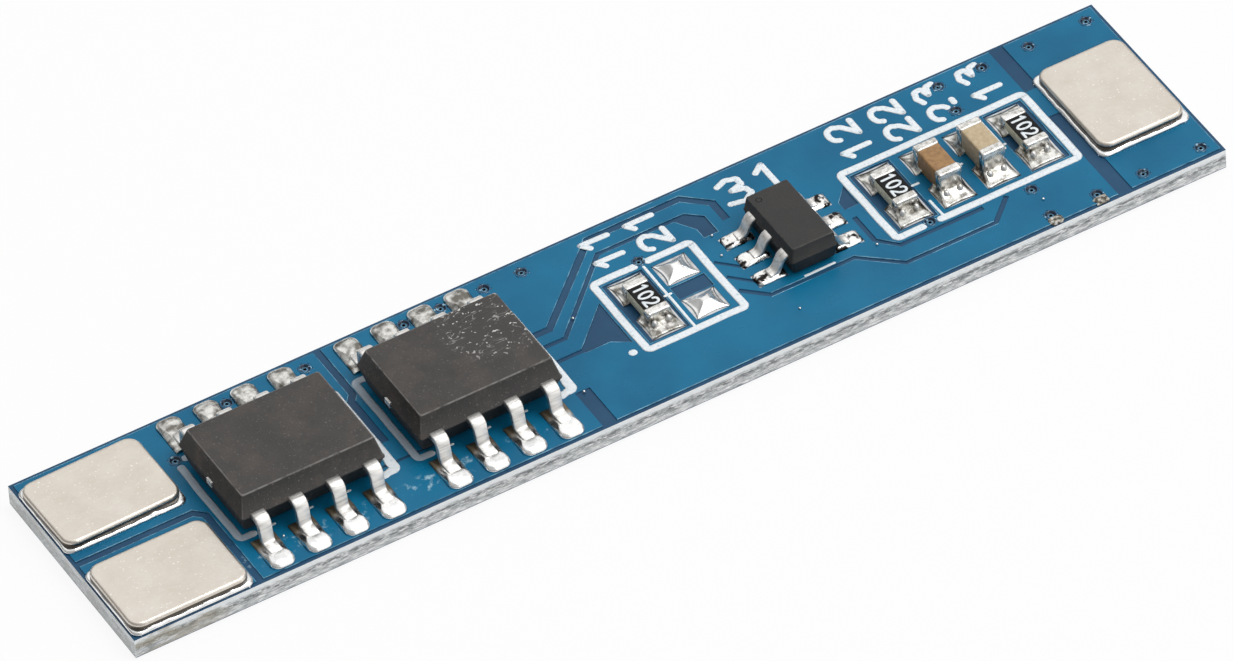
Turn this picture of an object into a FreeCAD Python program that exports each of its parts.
import FreeCAD, Part
import math
import os

# Battery protection board: a narrow two-sided laminate strip with two power
# transistors in eight-lead packages, a six-lead control circuit, a row of
# small chip parts and three nickel tabs for welding the cell straps.
#
# Frame: origin at the centre of the underside, +X along the board towards the
# end with the single tab, +Y across it, +Z up. All lengths in millimetres.

Vector = FreeCAD.Vector

# Laminate and its layers
core_thickness = 0.69
copper_thickness = 0.035
mask_thickness = 0.020
ink_thickness = 0.015
pour_edge_gap = 0.14

# Drawing grid of the copper, and the etched gaps between its areas: beside the
# tabs, between power areas, between signal areas and between tracks
grid = 0.05
tab_gap = 0.54
power_gap = 0.30
signal_gap = 0.21
fine_gap = 0.16

# Nickel tabs, all three alike
tab_length = 4.0
tab_width = 3.0
tab_thickness = 0.30
tab_corner_radius = 0.40
tab_edge_break = 0.06
tab_turn_deg = 1.2
tab_end_gap = 0.07
front_tab_edge_gap = 0.10
rear_tab_edge_gap = 0.50
right_tab_end_gap = 0.25
right_tab_shift = -0.10
tab_pad_margin = 0.11
tab_pad_edge_gap = 0.03
tab_solder_film = 0.07
tab_solder_slope = 0.05
tab_pad_corner_cut = 0.22

# Power transistor package, eight leads on a 1.27 mm pitch
mosfet_length = 4.90
mosfet_width = 3.90
mosfet_height = 1.43
mosfet_standoff = 0.15
mosfet_end_draft = 0.18
mosfet_side_draft = 0.26
mosfet_edge_break = 0.04
mosfet_pitch = 1.27
mosfet_leads_per_side = 4
mosfet_lead_span = 6.0
mosfet_lead_width = 0.42
mosfet_lead_thickness = 0.20
mosfet_foot_length = 0.55
mosfet_shoulder_length = 0.24
mosfet_shift = -0.16
mosfet_pad_width = 0.84
mosfet_pad_toe = 0.72
mosfet_pad_length = 1.50
mosfet_pad_edge_gap = 0.13
mosfet_pad_corner_cut = 0.24
mosfet_solder_height = 0.20
tie_bar_width = 0.30
tie_bar_thickness = 0.20
tie_bar_stub = 0.03

# Control circuit package, six leads on a 0.95 mm pitch
ic_length = 2.92
ic_width = 1.60
ic_height = 1.00
ic_standoff = 0.08
ic_end_draft = 0.07
ic_side_draft = 0.07
ic_edge_break = 0.03
ic_pitch = 0.95
ic_leads_per_side = 3
ic_lead_span = 2.80
ic_lead_width = 0.38
ic_lead_thickness = 0.15
ic_foot_length = 0.30
ic_shoulder_length = 0.12
ic_shift = -0.02
ic_pad_width = 0.60
ic_pad_toe = 0.44
ic_pad_length = 1.02
ic_solder_height = 0.15

# Chip parts of the 0603 size
chip_length = 1.60
chip_width = 0.80
chip_end_band = 0.30
chip_metal_thickness = 0.03
chip_pad_width = 1.16
chip_pad_length = 1.03
chip_pad_span = 2.76
chip_shift = -0.05
resistor_height = 0.45
glaze_thickness = 0.02
small_capacitor_height = 0.80
tall_capacitor_height = 0.86
chip_fillet_share = 0.62
chip_fillet_hollow = 0.30
chip_fillet_side_gap = 0.03
bare_pad_solder_height = 0.24

# Solder under every foot and chip, and how far leads reach into their body
solder_film = 0.03
solder_shoulder_share = 0.55
solder_shoulder_inset = 0.06
solder_crown_inset = 0.24
lead_bury = 0.35

# Spacing along the board
tab_to_mosfet = 0.63
mosfet_spacing = 6.09
mosfet_to_chips = 4.04
chip_spacing = 1.54
chips_to_ic = 3.53
ic_to_chips = 3.60
chips_to_tab = 1.53

# Plated through holes
via_drill = 0.36
via_plating = 0.03
via_mask_opening = 0.44
via_sides = 6
rear_via_edge_gap = 0.57
front_via_edge_gap = 0.46

# Printed outlines
outline_stroke = 0.26
fine_stroke = 0.10
box_side_margin = 0.34
box_end_margin = 0.28
mosfet_outline_left = 2.48
mosfet_outline_right = 2.88
mosfet_outline_pad_gap = 0.16
ic_outline_gap = 0.04
ic_outline_left = 0.45
ic_outline_right = 0.62

# Distances of the pieces from the left end of the board
left_tab_at = tab_end_gap + tab_length / 2
left_mosfet_at = tab_end_gap + tab_length + tab_to_mosfet + mosfet_length / 2
right_mosfet_at = left_mosfet_at + mosfet_spacing
resistor_1_at = right_mosfet_at + mosfet_length / 2 + mosfet_to_chips
capacitor_1_at = resistor_1_at + chip_spacing
ic_at = capacitor_1_at + chips_to_ic
resistor_2_at = ic_at + ic_to_chips
capacitor_2_at = resistor_2_at + chip_spacing
capacitor_3_at = capacitor_2_at + chip_spacing
resistor_3_at = capacitor_3_at + chip_spacing
right_tab_at = resistor_3_at + chips_to_tab + tab_width / 2

# The board is as long as its row of parts and as wide as the transistor pads
board_length = right_tab_at + tab_width / 2 + right_tab_end_gap
mosfet_pad_reach = mosfet_lead_span / 2 + mosfet_pad_toe
board_width = 2 * (mosfet_pad_reach + mosfet_pad_edge_gap)

# Heights of the layers above the underside
core_bottom = mask_thickness + copper_thickness
core_top = core_bottom + core_thickness
pad_top = core_top + copper_thickness
board_top = pad_top + mask_thickness

# Across the board: the transistors' outlines, and the rows of tabs
mosfet_outline_half_width = (mosfet_pad_reach - mosfet_pad_length - mosfet_outline_pad_gap
                             - outline_stroke / 2)
front_tab_y = -board_width / 2 + front_tab_edge_gap + tab_width / 2
rear_tab_y = board_width / 2 - rear_tab_edge_gap - tab_width / 2
tab_channel_y = (front_tab_y + rear_tab_y) / 2


def along(distance):
    """Turn a distance from the left end of the board into an X coordinate."""
    return distance - board_length / 2


def save(name, *solids):
    """Write one piece, or a group of like pieces, to its own file."""
    shape = solids[0] if len(solids) == 1 else Part.makeCompound(list(solids))
    shape.exportStep("parts/" + name + ".step")


def move(shape, x, y, z, turn_deg=0.0):
    """Return a copy turned about the vertical axis and moved."""
    placed = shape.copy()
    placed.rotate(Vector(0, 0, 0), Vector(0, 0, 1), turn_deg)
    placed.translate(Vector(x, y, z))
    return placed


def outline(length, width, z, corner_cut=0.0, toe_cut=0.0):
    """Closed rectangle at height z, centred on the vertical axis.

    Either all four corners are cut off or only the two at the +Y end, the toe."""
    x = length / 2
    y = width / 2
    points = []
    for x_sign, y_sign, cut in ((1, 1, corner_cut or toe_cut), (-1, 1, corner_cut or toe_cut),
                                (-1, -1, corner_cut), (1, -1, corner_cut)):
        corner = (x_sign * x, y_sign * y)
        if cut:
            along_x = (x_sign * (x - cut), y_sign * y)
            along_y = (x_sign * x, y_sign * (y - cut))
            points += [along_y, along_x] if x_sign == y_sign else [along_x, along_y]
        else:
            points.append(corner)
    corners = [Vector(px, py, z) for px, py in points]
    return Part.makePolygon(corners + corners[:1])


def plate(length, width, bottom, top, toe_cut=0.0):
    """Flat plate between two heights, centred on the vertical axis."""
    face = Part.Face(outline(length, width, bottom, toe_cut=toe_cut))
    return face.extrude(Vector(0, 0, top - bottom))


def rounded_plate(length, width, radius, height):
    """Flat plate with round corners, standing on z = 0."""
    block = plate(length, width, 0, height)
    uprights = [edge for edge in block.Edges
                if abs(edge.Vertexes[0].Z - edge.Vertexes[-1].Z) > height / 2]
    return block.makeFillet(radius, uprights)


def rim_edges(shape, height):
    """The edges that lie wholly at the given height."""
    return [edge for edge in shape.Edges
            if min(vertex.Z for vertex in edge.Vertexes) > height - 1e-6]


def box_between(x_range, y_range, z_range):
    """Box from its three pairs of limits."""
    size = [high - low for low, high in (x_range, y_range, z_range)]
    corner = Vector(x_range[0], y_range[0], z_range[0])
    return Part.makeBox(size[0], size[1], size[2], corner)


def polygon_prism(points, bottom, top):
    """Prism over a closed outline of (x, y) points."""
    corners = [Vector(x, y, bottom) for x, y in points]
    face = Part.Face(Part.makePolygon(corners + corners[:1]))
    return face.extrude(Vector(0, 0, top - bottom))


def band_outline(points, width):
    """Outline of a strip of constant width with mitred corners."""
    nodes = [Vector(x, y, 0) for x, y in points]
    normals = []
    for start, end in zip(nodes, nodes[1:]):
        run = (end - start).normalize()
        normals.append(Vector(-run.y, run.x, 0))
    left = []
    right = []
    for index, node in enumerate(nodes):
        before = normals[max(index - 1, 0)]
        after = normals[min(index, len(normals) - 1)]
        miter = (before + after).normalize()
        reach = miter * (width / 2 / miter.dot(after))
        left.append((node.x + reach.x, node.y + reach.y))
        right.append((node.x - reach.x, node.y - reach.y))
    return left + right[::-1]


def row_positions(count, pitch):
    """Places of a row of leads, centred on the package."""
    return [(index - (count - 1) / 2) * pitch for index in range(count)]


def gull_wing(half_body, exit_height, half_span, foot, shoulder, width, thickness):
    """One lead along +Y: out of the body, over the shoulder, down the shin, along the foot.

    Both bends are sharp on the inside and blunted on the outside, as a die leaves them."""
    under = exit_height - thickness / 2
    top = exit_height + thickness / 2
    root = half_body - lead_bury
    shoulder_bend = Vector(0, half_body + shoulder, under)
    heel_bend = Vector(0, half_span - foot, thickness)
    rise = Vector(0, 0, thickness)

    # The shin keeps the lead's thickness between the shoulder and the heel
    reach = heel_bend - shoulder_bend
    shin = math.sqrt(reach.Length ** 2 - thickness ** 2)
    run_y = (reach.y * shin + reach.z * thickness) / reach.Length ** 2
    run_z = (reach.z * shin - reach.y * thickness) / reach.Length ** 2
    outward = Vector(0, -run_z, run_y) * thickness
    halfway = (rise + outward).normalize() * thickness

    corners = [Vector(0, root, under), Vector(0, root, top), shoulder_bend + rise,
               shoulder_bend + halfway, shoulder_bend + outward, heel_bend,
               Vector(0, half_span, thickness), Vector(0, half_span, 0),
               heel_bend - rise, heel_bend - halfway, heel_bend - outward, shoulder_bend]
    lead = Part.Face(Part.makePolygon(corners + corners[:1])).extrude(Vector(width, 0, 0))
    lead.translate(Vector(-width / 2, 0, 0))
    return lead


def moulded_body(length, width, bottom, height, end_draft, side_draft, edge_break):
    """Moulded package: both halves slope in from the parting line."""
    top = bottom + height
    end_length = length - 2 * end_draft
    end_width = width - 2 * side_draft
    sections = [outline(end_length, end_width, bottom),
                outline(length, width, bottom + height / 2),
                outline(end_length, end_width, top)]
    body = Part.makeLoft(sections, True, True)
    return body.makeChamfer(edge_break, rim_edges(body, top))


def solder_mound(length, width, height, toe_cut=0.0):
    """Mound of solder over a whole pad: steep shoulders under a flat crown."""
    cut_share = 2 - math.sqrt(2)
    sections = []
    for inset, z in ((0, 0), (solder_shoulder_inset, height * solder_shoulder_share),
                     (solder_crown_inset, height)):
        cut = toe_cut - inset * cut_share if toe_cut else 0
        sections.append(outline(length - 2 * inset, width - 2 * inset, z, toe_cut=cut))
    return Part.makeLoft(sections, True, True)


os.makedirs("parts", exist_ok=True)

# Middles and ends of the parts along X
left_tab_x = along(left_tab_at)
left_mosfet_x = along(left_mosfet_at)
right_mosfet_x = along(right_mosfet_at)
first_chip = along(resistor_1_at)
second_chip = along(capacitor_1_at)
ic_x = along(ic_at)
second_row = along(resistor_2_at)
third_capacitor = along(capacitor_3_at)
last_chip = along(resistor_3_at)
right_tab_x = along(right_tab_at)
tab_end = left_tab_x + tab_length / 2
between_mosfets = (left_mosfet_x + right_mosfet_x) / 2
mosfet_end = right_mosfet_x + mosfet_length / 2
right_tab_edge = right_tab_x - tab_width / 2
chip_places = [along(place) for place in (resistor_1_at, capacitor_1_at, resistor_2_at,
                                          capacitor_2_at, capacitor_3_at, resistor_3_at)]

# Rows across the board
rear_via_y = board_width / 2 - rear_via_edge_gap
front_via_y = front_via_edge_gap - board_width / 2
chip_row_rear = chip_shift + chip_pad_span / 2
chip_row_front = chip_shift - chip_pad_span / 2
past_edge = board_width / 2 + tab_gap
past_end = board_length / 2 + tab_gap


def at(x, x_steps, y_steps):
    """Point on the board's drawing grid, counted from x and from the centre line."""
    return (x + x_steps * grid, y_steps * grid)


# Plated through holes as (x, y): along the edge behind the transistors, beside
# the chip rows and at the corners of the right-hand tab
rear_via_xs = [left_mosfet_x, left_mosfet_x + mosfet_outline_right - 4 * grid,
               right_mosfet_x, right_mosfet_x + mosfet_pitch,
               right_mosfet_x + mosfet_outline_right - 2 * grid,
               right_mosfet_x + mosfet_outline_right + 24 * grid,
               third_capacitor + 10 * grid, last_chip + 10 * grid,
               right_tab_x - 17 * grid, right_tab_x + 24 * grid]
front_via_xs = [third_capacitor + 8 * grid, last_chip + 10 * grid,
                right_tab_x - 18 * grid, right_tab_x + 23 * grid]
via_places = [(x, rear_via_y) for x in rear_via_xs]
via_places += [(x, front_via_y) for x in front_via_xs]
via_places += [
    at(tab_end, 12, 40),
    (first_chip + chip_spacing / 2, chip_row_rear + 8 * grid),
    (second_row + 6 * grid, chip_row_front - 4 * grid),
    (third_capacitor + 8 * grid, chip_row_rear + 15 * grid),
    (third_capacitor + 10 * grid, chip_row_front - 14 * grid),
]


def via_prisms(width, bottom, top):
    """One upright prism at each plated hole, as wide as given across its flats."""
    reach = width / 2 / math.cos(math.pi / via_sides)
    ring = []
    for index in range(via_sides):
        turn = 2 * math.pi * (index + 0.5) / via_sides
        ring.append((reach * math.cos(turn), reach * math.sin(turn)))
    prism = polygon_prism(ring, bottom, top)
    return [move(prism, x, y, 0) for x, y in via_places]


# Pads: one shape each, for the copper, the opening in the mask and the solder
def mosfet_pad_places(centre_x):
    """Middles and turns of the front and rear pads, even about the middle of the board."""
    pad_y = mosfet_pad_reach - mosfet_pad_length / 2
    offsets = row_positions(mosfet_leads_per_side, mosfet_pitch)
    return {"front": [(centre_x + offset, -pad_y, 180) for offset in offsets],
            "rear": [(centre_x + offset, pad_y, 0) for offset in offsets]}


def ic_pad_places():
    """Middles and turns of the pads in the two columns beside the control circuit."""
    pad_x = ic_lead_span / 2 + ic_pad_toe - ic_pad_length / 2
    offsets = row_positions(ic_leads_per_side, ic_pitch)
    return {"left": [(ic_x - pad_x, ic_shift + offset, 90) for offset in offsets],
            "right": [(ic_x + pad_x, ic_shift + offset, -90) for offset in offsets]}


def chip_pad_places(centre_x):
    """Middles and turns of the front and rear pad of one chip part."""
    pad_y = (chip_pad_span - chip_pad_length) / 2
    return [(centre_x, chip_shift - pad_y, 180), (centre_x, chip_shift + pad_y, 0)]


def at_pads(shape, pad_places, height=0.0):
    """Copies of a shape at the given pads, each with its toe away from the package."""
    return [move(shape, x, y, height, turn) for x, y, turn in pad_places]


tabs = {
    "rear_left": ((left_tab_x, rear_tab_y), (tab_length, tab_width), tab_turn_deg),
    "front_left": ((left_tab_x, front_tab_y), (tab_length, tab_width), 0.0),
    "right": ((right_tab_x, right_tab_shift), (tab_width, tab_length), 0.0),
}


def tab_pad_outline(name, inset, z):
    """Outline of the pad under one tab: the tab with a margin, kept on the board."""
    centre, size = tabs[name][:2]
    half_board = (board_length / 2, board_width / 2)
    middle = []
    extent = []
    for place, length, half in zip(centre, size, half_board):
        low = max(place - length / 2 - tab_pad_margin, tab_pad_edge_gap - half) + inset
        high = min(place + length / 2 + tab_pad_margin, half - tab_pad_edge_gap) - inset
        middle.append((low + high) / 2)
        extent.append(high - low)
    wire = outline(extent[0], extent[1], z, corner_cut=tab_pad_corner_cut)
    wire.translate(Vector(middle[0], middle[1], 0))
    return wire


def all_pads(bottom, top):
    """Every soldered pad on the top side, as a plate between two heights."""
    lift = Vector(0, 0, top - bottom)
    pads = [Part.Face(tab_pad_outline(name, 0, bottom)).extrude(lift) for name in tabs]
    mosfet_pad = plate(mosfet_pad_width, mosfet_pad_length, bottom, top, mosfet_pad_corner_cut)
    for centre_x in (left_mosfet_x, right_mosfet_x):
        for row in mosfet_pad_places(centre_x).values():
            pads += at_pads(mosfet_pad, row)
    ic_pad = plate(ic_pad_width, ic_pad_length, bottom, top)
    for column in ic_pad_places().values():
        pads += at_pads(ic_pad, column)
    chip_pad = plate(chip_pad_width, chip_pad_length, bottom, top)
    for centre_x in chip_places:
        pads += at_pads(chip_pad, chip_pad_places(centre_x))
    return pads


# Gaps etched between the copper areas, as strips (points, width) and as
# polygons. Points are set off from the parts that the gaps run between.
etched_strips = [
    ([(-past_end, tab_channel_y), (tab_end - grid, tab_channel_y),
      (tab_end + 5 * grid, tab_channel_y - 6 * grid), (tab_end + 5 * grid, -past_edge)], power_gap),
    ([(between_mosfets + 6 * grid, past_edge), at(between_mosfets, 6, 31),
      at(between_mosfets, 2, 26), at(between_mosfets, 2, -15)], power_gap),
    ([at(between_mosfets, -24, -33), at(between_mosfets, 24, -33)], fine_gap),
    ([at(mosfet_end, -18, 14), at(mosfet_end, 22, 14), at(first_chip, -8, 61),
      at(first_chip, -1, 68), at(ic_x, -38, 68), at(ic_x, -23, 54),
      at(ic_x, -23, 37)], power_gap),
    ([at(mosfet_end, -18, 2), at(mosfet_end, 26, 2), at(first_chip, -2, 54),
      at(second_chip, 24, 54), at(ic_x, -40, 42)], signal_gap),
    ([at(mosfet_end, -18, -13), at(mosfet_end, 48, -13)], signal_gap),
    ([at(mosfet_end, 12, -42), (mosfet_end + 12 * grid, -past_edge)], tab_gap),
    ([at(second_chip, 22, 9), at(ic_x, -36, -4)], fine_gap),
    ([at(second_chip, 22, -6), at(ic_x, -36, -19)], fine_gap),
    ([at(second_chip, 22, -20), at(ic_x, -34, -34), at(ic_x, 24, -34),
      at(ic_x, 48, -55), at(second_row, 39, -55), at(second_row, 56, -39)], signal_gap),
    ([at(ic_x, 42, -4), at(ic_x, 42, -28), at(ic_x, 53, -40),
      at(second_row, 39, -40)], signal_gap),
    ([(right_tab_edge - 5 * grid, -past_edge), at(right_tab_edge, -5, 6)], tab_gap),
    ([at(right_tab_edge, -5, 32), (right_tab_edge - 5 * grid, past_edge)], tab_gap),
]

etched_areas = [
    [at(mosfet_end, 29, -11), at(first_chip, -22, 18), at(first_chip, -22, -24),
     at(first_chip, -34, -16), at(mosfet_end, 29, -16)],
    [at(second_chip, 17, 56), at(ic_x, -42, 56), at(ic_x, -32, 47), at(ic_x, -32, 30),
     at(ic_x, -43, 30), at(ic_x, -43, 39)],
    [at(second_chip, -12, -8), at(second_chip, 13, -8), at(second_chip, 13, 5),
     at(second_chip, -12, 5)],
    [at(ic_x, 40, 12), at(ic_x, 51, 24), at(ic_x, 51, 4), at(ic_x, 40, 4)],
]
cell_front = chip_row_front - 2 * grid
cell_rear = chip_row_rear + 2 * grid
for chip_x, left_steps, right_steps in ((first_chip, 15, 14), (second_row, 15, 14),
                                        (last_chip, 13, 15)):
    left = chip_x - left_steps * grid
    right = chip_x + right_steps * grid
    etched_areas.append([(left, cell_front), (right, cell_front),
                         (right, cell_rear), (left, cell_rear)])

bottom_strips = [
    ([(tab_end + 5 * grid, -past_edge), (tab_end + 5 * grid, past_edge)], power_gap),
    ([(mosfet_end + 12 * grid, -past_edge), (mosfet_end + 12 * grid, rear_via_y - 17 * grid),
      (mosfet_end + 28 * grid, rear_via_y - grid), (ic_x, rear_via_y - grid),
      (ic_x + 20 * grid, rear_via_y - 21 * grid), (ic_x + 20 * grid, -past_edge)], power_gap),
    ([(right_tab_edge - 5 * grid, -past_edge), (right_tab_edge - 5 * grid, past_edge)], tab_gap),
]


def etched(strips, areas, shrink, bottom, top):
    """Prisms over the etched gaps, each side drawn in by the given amount."""
    prisms = [polygon_prism(band_outline(points, width - 2 * shrink), bottom, top)
              for points, width in strips]
    for points in areas:
        corners = [Vector(x, y, bottom) for x, y in points + points[:1]]
        face = Part.Face(Part.makePolygon(corners))
        if shrink:
            face = face.makeOffset2D(-shrink, 2)
        prisms.append(face.extrude(Vector(0, 0, top - bottom)))
    return prisms


def copper_layer(strips, areas, pads, bottom, top):
    """Copper on one side: a pour short of the edges, the gaps taken out, pads kept."""
    pour = plate(board_length - 2 * pour_edge_gap, board_width - 2 * pour_edge_gap, bottom, top)
    layer = pour.cut(etched(strips, areas, 0, bottom, top))
    if pads:
        layer = layer.fuse(pads).removeSplitter()
    return layer.cut(via_prisms(via_drill, bottom, top))


def mask_layer(copper, strips, areas, openings, inner, outer):
    """Mask on one side: it dips over the gaps and the rim, and is open at pads.

    inner is the height of the laminate face and outer that of the board face."""
    low = min(inner, outer)
    high = max(inner, outer)
    film = mask_thickness if outer > inner else -mask_thickness
    dip_low = min(inner + film, outer)
    dip_high = max(inner + film, outer)
    film_gap = 2 * (pour_edge_gap - mask_thickness)
    raised = plate(board_length - film_gap, board_width - film_gap, dip_low, dip_high)
    rim = plate(board_length, board_width, dip_low, dip_high).cut(raised)
    dips = etched(strips, areas, mask_thickness, dip_low, dip_high)
    holes = via_prisms(via_mask_opening, low, high)
    sheet = plate(board_length, board_width, low, high)
    return sheet.cut([copper, rim] + dips + openings + holes)


# Laminate core with its drilled holes
core = plate(board_length, board_width, core_bottom, core_top)
save("board_core", core.cut(via_prisms(via_drill, core_bottom, core_top)))

# Copper and solder mask on both sides
copper_top = copper_layer(etched_strips, etched_areas, all_pads(core_top, pad_top),
                          core_top, pad_top)
mask_top = mask_layer(copper_top, etched_strips, etched_areas, all_pads(core_top, board_top),
                      core_top, board_top)
copper_bottom = copper_layer(bottom_strips, [], [], mask_thickness, core_bottom)
mask_bottom = mask_layer(copper_bottom, bottom_strips, [], [], core_bottom, 0.0)
save("copper_top", copper_top)
save("solder_mask_top", mask_top)
save("copper_bottom", copper_bottom)
save("solder_mask_bottom", mask_bottom)

# Plating in the holes, from the lower copper to the upper
hole_width = via_drill - 2 * via_plating
barrels = [outside.cut(inside)
           for outside, inside in zip(via_prisms(via_drill, mask_thickness, pad_top),
                                      via_prisms(hole_width, mask_thickness, pad_top))]
save("via_barrels", *barrels)

# Printed outlines: boxes round the chip rows and frames at the packages. The
# ink follows the mask, so each print reaches down into the dips.
ink_bottom = core_top + mask_thickness
ink_top = board_top + ink_thickness


def printed_frame(x_range, y_range, stroke):
    """Rectangular printed frame about the given middle lines."""
    length = x_range[1] - x_range[0]
    width = y_range[1] - y_range[0]
    outer = plate(length + stroke, width + stroke, ink_bottom, ink_top)
    inner = plate(length - stroke, width - stroke, ink_bottom, ink_top)
    return move(outer.cut(inner), sum(x_range) / 2, sum(y_range) / 2, 0)


prints = []
box_x_margin = chip_pad_width / 2 + box_side_margin
box_y_range = (chip_row_front - box_end_margin, chip_row_rear + box_end_margin)
divider_y_range = (box_y_range[0] + outline_stroke / 2, box_y_range[1] - outline_stroke / 2)
for first, last in ((first_chip, second_chip), (second_row, last_chip)):
    prints.append(printed_frame((first - box_x_margin, last + box_x_margin), box_y_range,
                                outline_stroke))
    for index in range(round((last - first) / chip_spacing)):
        x = first + (index + 0.5) * chip_spacing
        prints.append(box_between((x - fine_stroke / 2, x + fine_stroke / 2), divider_y_range,
                                  (ink_bottom, ink_top)))
for centre_x in (left_mosfet_x, right_mosfet_x):
    prints.append(printed_frame((centre_x - mosfet_outline_left, centre_x + mosfet_outline_right),
                                (-mosfet_outline_half_width, mosfet_outline_half_width),
                                outline_stroke))
ic_front = ic_shift - ic_length / 2
prints.append(box_between((ic_x - ic_outline_left, ic_x + ic_outline_right),
                          (ic_front - ic_outline_gap - fine_stroke, ic_front - ic_outline_gap),
                          (ink_bottom, ink_top)))
ink = []
for shape in prints:
    holes = via_prisms(via_mask_opening, ink_bottom, ink_top)
    ink += shape.cut([mask_top, copper_top] + holes).Solids
save("silkscreen_outlines", *ink)

# Nickel tabs and the solder under them
tab_seat = pad_top + tab_solder_film
for name, (centre, size, turn_deg) in tabs.items():
    blank = rounded_plate(size[0], size[1], tab_corner_radius, tab_thickness)
    tab = blank.makeChamfer(tab_edge_break, rim_edges(blank, tab_thickness))
    save(name + "_tab", move(tab, centre[0], centre[1], tab_seat, turn_deg))
    solder = Part.makeLoft([tab_pad_outline(name, 0, pad_top),
                            tab_pad_outline(name, tab_solder_slope, tab_seat)], True, True)
    save(name + "_tab_solder", solder)

# Leaded packages, each made about the origin with its lead rows along X, then
# turned and moved to its place. The feet stand on a film of solder.
feet_height = pad_top + solder_film


def lead_rows(lead, count, pitch):
    """Front and rear rows of one lead shape, which points along +Y."""
    offsets = row_positions(count, pitch)
    return {"front": [move(move(lead, 0, 0, 0, 180), offset, 0, 0) for offset in offsets],
            "rear": [move(lead, offset, 0, 0) for offset in offsets]}


def soldered_row(mound, pad_places, leads):
    """One mound on each pad, each closed round the lead that stands in it."""
    return [solder.cut(leads) for solder in at_pads(mound, pad_places, pad_top)]


mosfet_body = moulded_body(mosfet_length, mosfet_width, mosfet_standoff, mosfet_height,
                           mosfet_end_draft, mosfet_side_draft, mosfet_edge_break)
mosfet_parting = mosfet_standoff + mosfet_height / 2
mosfet_rows = lead_rows(gull_wing(mosfet_width / 2, mosfet_parting, mosfet_lead_span / 2,
                                  mosfet_foot_length, mosfet_shoulder_length,
                                  mosfet_lead_width, mosfet_lead_thickness),
                        mosfet_leads_per_side, mosfet_pitch)
tie_bar = box_between((mosfet_length / 2 - lead_bury, mosfet_length / 2 + tie_bar_stub),
                      (-tie_bar_width / 2, tie_bar_width / 2),
                      (mosfet_parting - tie_bar_thickness / 2,
                       mosfet_parting + tie_bar_thickness / 2))
tie_bars = [tie_bar, move(tie_bar, 0, 0, 0, 180)]
mosfet_body = mosfet_body.cut(mosfet_rows["front"] + mosfet_rows["rear"] + tie_bars)
mosfet_mound = solder_mound(mosfet_pad_width, mosfet_pad_length, mosfet_solder_height,
                            mosfet_pad_corner_cut)
for name, centre_x in (("left_mosfet", left_mosfet_x), ("right_mosfet", right_mosfet_x)):
    save(name + "_body", move(mosfet_body, centre_x, mosfet_shift, feet_height))
    save(name + "_tie_bars",
         *[move(bar, centre_x, mosfet_shift, feet_height) for bar in tie_bars])
    for row, places in mosfet_pad_places(centre_x).items():
        leads = [move(lead, centre_x, mosfet_shift, feet_height) for lead in mosfet_rows[row]]
        save(name + "_" + row + "_leads", *leads)
        save(name + "_" + row + "_solder", *soldered_row(mosfet_mound, places, leads))

ic_body = moulded_body(ic_length, ic_width, ic_standoff, ic_height,
                       ic_end_draft, ic_side_draft, ic_edge_break)
ic_rows = lead_rows(gull_wing(ic_width / 2, ic_standoff + ic_height / 2, ic_lead_span / 2,
                              ic_foot_length, ic_shoulder_length,
                              ic_lead_width, ic_lead_thickness),
                    ic_leads_per_side, ic_pitch)
ic_body = ic_body.cut(ic_rows["front"] + ic_rows["rear"])
ic_mound = solder_mound(ic_pad_width, ic_pad_length, ic_solder_height)
ic_turn = -90
save("control_ic_body", move(ic_body, ic_x, ic_shift, feet_height, ic_turn))
for row, side in (("front", "left"), ("rear", "right")):
    leads = [move(lead, ic_x, ic_shift, feet_height, ic_turn) for lead in ic_rows[row]]
    save("control_ic_" + side + "_leads", *leads)
    save("control_ic_" + side + "_solder",
         *soldered_row(ic_mound, ic_pad_places()[side], leads))


# Chip parts: a ceramic block with a metal cap at each end, soldered at both
def chip_core(height):
    """The ceramic block inside the metal caps, for a chip standing on z = 0."""
    half_x = chip_width / 2 - chip_metal_thickness
    half_y = chip_length / 2 - chip_metal_thickness
    return box_between((-half_x, half_x), (-half_y, half_y),
                       (chip_metal_thickness, height - chip_metal_thickness))


def chip_caps(height):
    """The front and rear end caps, each closed over its end of the block."""
    cap = box_between((-chip_width / 2, chip_width / 2),
                      (chip_length / 2 - chip_end_band, chip_length / 2),
                      (0, height)).cut(chip_core(height))
    return [move(cap, 0, 0, 0, 180), cap]


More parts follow.
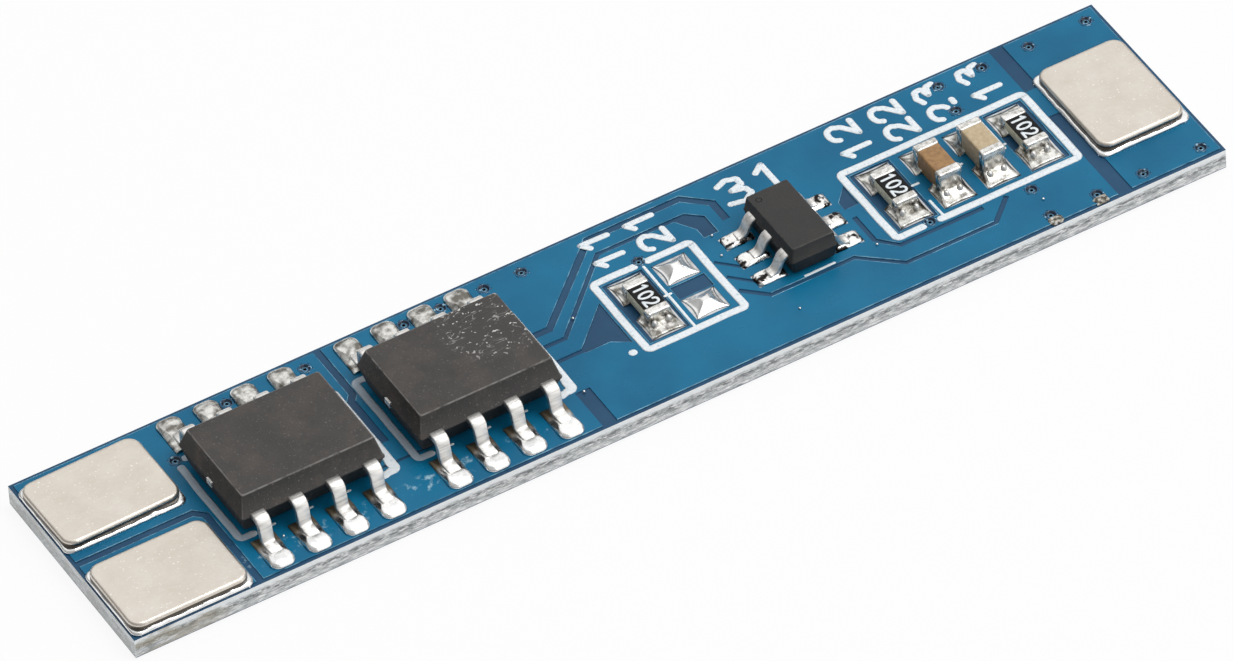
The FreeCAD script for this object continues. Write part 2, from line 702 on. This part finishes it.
def chip_fillets(height):
    """Solder at both ends: it covers the pad and climbs the cap in a hollow curve."""
    rise = height * chip_fillet_share + solder_film
    toe = chip_pad_span / 2
    heel = toe - chip_pad_length
    cap_face = chip_length / 2
    lip = mask_thickness
    corners = [Vector(0, toe, lip),
               Vector(0, cap_face + (toe - cap_face) * (1 - chip_fillet_hollow) / 2,
                      lip + (rise - lip) * chip_fillet_hollow),
               Vector(0, cap_face, rise), Vector(0, heel, rise),
               Vector(0, heel, 0), Vector(0, toe, 0)]
    slab = Part.Face(Part.makePolygon(corners + corners[:1])).extrude(Vector(chip_pad_width, 0, 0))
    slab.translate(Vector(-chip_pad_width / 2, 0, 0))

    # The solder narrows from the pad's width to just over the chip's
    wide = chip_pad_width / 2
    narrow = chip_width / 2 + chip_fillet_side_gap
    section = [(-wide, 0), (wide, 0), (wide, lip), (narrow, rise), (-narrow, rise), (-wide, lip)]
    corners = [Vector(x, 0, z) for x, z in section]
    wedge = Part.Face(Part.makePolygon(corners + corners[:1])).extrude(Vector(0, 2 * toe, 0))
    bare_chip = box_between((-chip_width / 2, chip_width / 2), (-cap_face, cap_face),
                            (solder_film, solder_film + height))
    fillet = slab.common(wedge).cut(bare_chip)
    return [move(fillet, 0, 0, 0, 180), fillet]


def save_chip(name, x, height):
    """Write the block, caps and solder of one chip part."""
    seat = pad_top + solder_film
    save(name + "_ceramic", move(chip_core(height), x, chip_shift, seat))
    save(name + "_end_caps", *[move(cap, x, chip_shift, seat) for cap in chip_caps(height)])
    save(name + "_solder",
         *[move(fillet, x, chip_shift, pad_top) for fillet in chip_fillets(height)])


glaze_half_x = chip_width / 2 - chip_metal_thickness
glaze_half_y = chip_length / 2 - chip_end_band
glaze_bottom = pad_top + solder_film + resistor_height - chip_metal_thickness
glaze = box_between((-glaze_half_x, glaze_half_x), (-glaze_half_y, glaze_half_y),
                    (0, glaze_thickness))
for name, centre_x in (("resistor_1", first_chip), ("resistor_2", second_row),
                       ("resistor_3", last_chip)):
    save_chip(name, centre_x, resistor_height)
    save(name + "_glaze", move(glaze, centre_x, chip_shift, glaze_bottom))
save_chip("capacitor_2", along(capacitor_2_at), small_capacitor_height)
save_chip("capacitor_3", third_capacitor, tall_capacitor_height)

# The unused capacitor place: its two pads carry low mounds of solder
bare_mound = solder_mound(chip_pad_width, chip_pad_length, bare_pad_solder_height)
save("capacitor_1_pad_solder",
     *at_pads(bare_mound, chip_pad_places(second_chip), pad_top))
